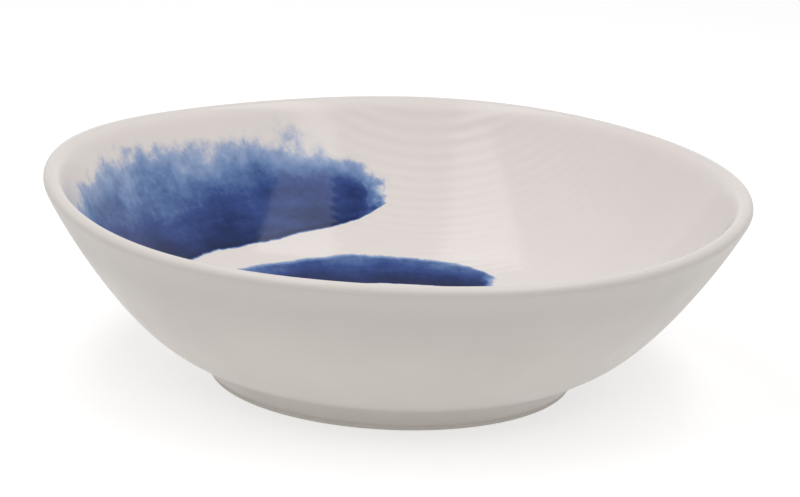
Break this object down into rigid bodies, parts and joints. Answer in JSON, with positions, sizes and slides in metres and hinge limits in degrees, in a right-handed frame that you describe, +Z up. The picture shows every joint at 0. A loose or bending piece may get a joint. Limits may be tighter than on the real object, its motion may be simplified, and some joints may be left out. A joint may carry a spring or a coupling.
{
  "type": "salad bowl",
  "caption": "Wide round ceramic salad bowl with flared curved wall, rounded lip, low foot ring, white glaze and blue brush strokes inside; holds and serves salad.",
  "frame": {"origin": "on the table under the middle of the bowl, in the plane of the foot ring's contact face", "axes": "+Z up along the axis that the bowl is turned about, -Y towards the viewer of the picture, +X to the viewer's right"},
  "size_m": [0.28, 0.28, 0.0811],
  "materials": {
    "bare_clay": "bare fired clay, matt",
    "gloss_white_glaze": "glossy warm white glaze",
    "satin_white_glaze": "satin warm white glaze",
    "light_cobalt": "cobalt wash under gloss",
    "deep_cobalt": "deep cobalt under gloss"
  },
  "bodies": {
    "root": {"clay_body": "bare_clay", "foot_ring": "bare_clay", "inside_glaze": "gloss_white_glaze", "outside_glaze": "satin_white_glaze", "base_glaze": "satin_white_glaze", "broad_blue_stroke": "light_cobalt", "narrow_blue_stroke": "deep_cobalt"}
  },
  "joints": []
}
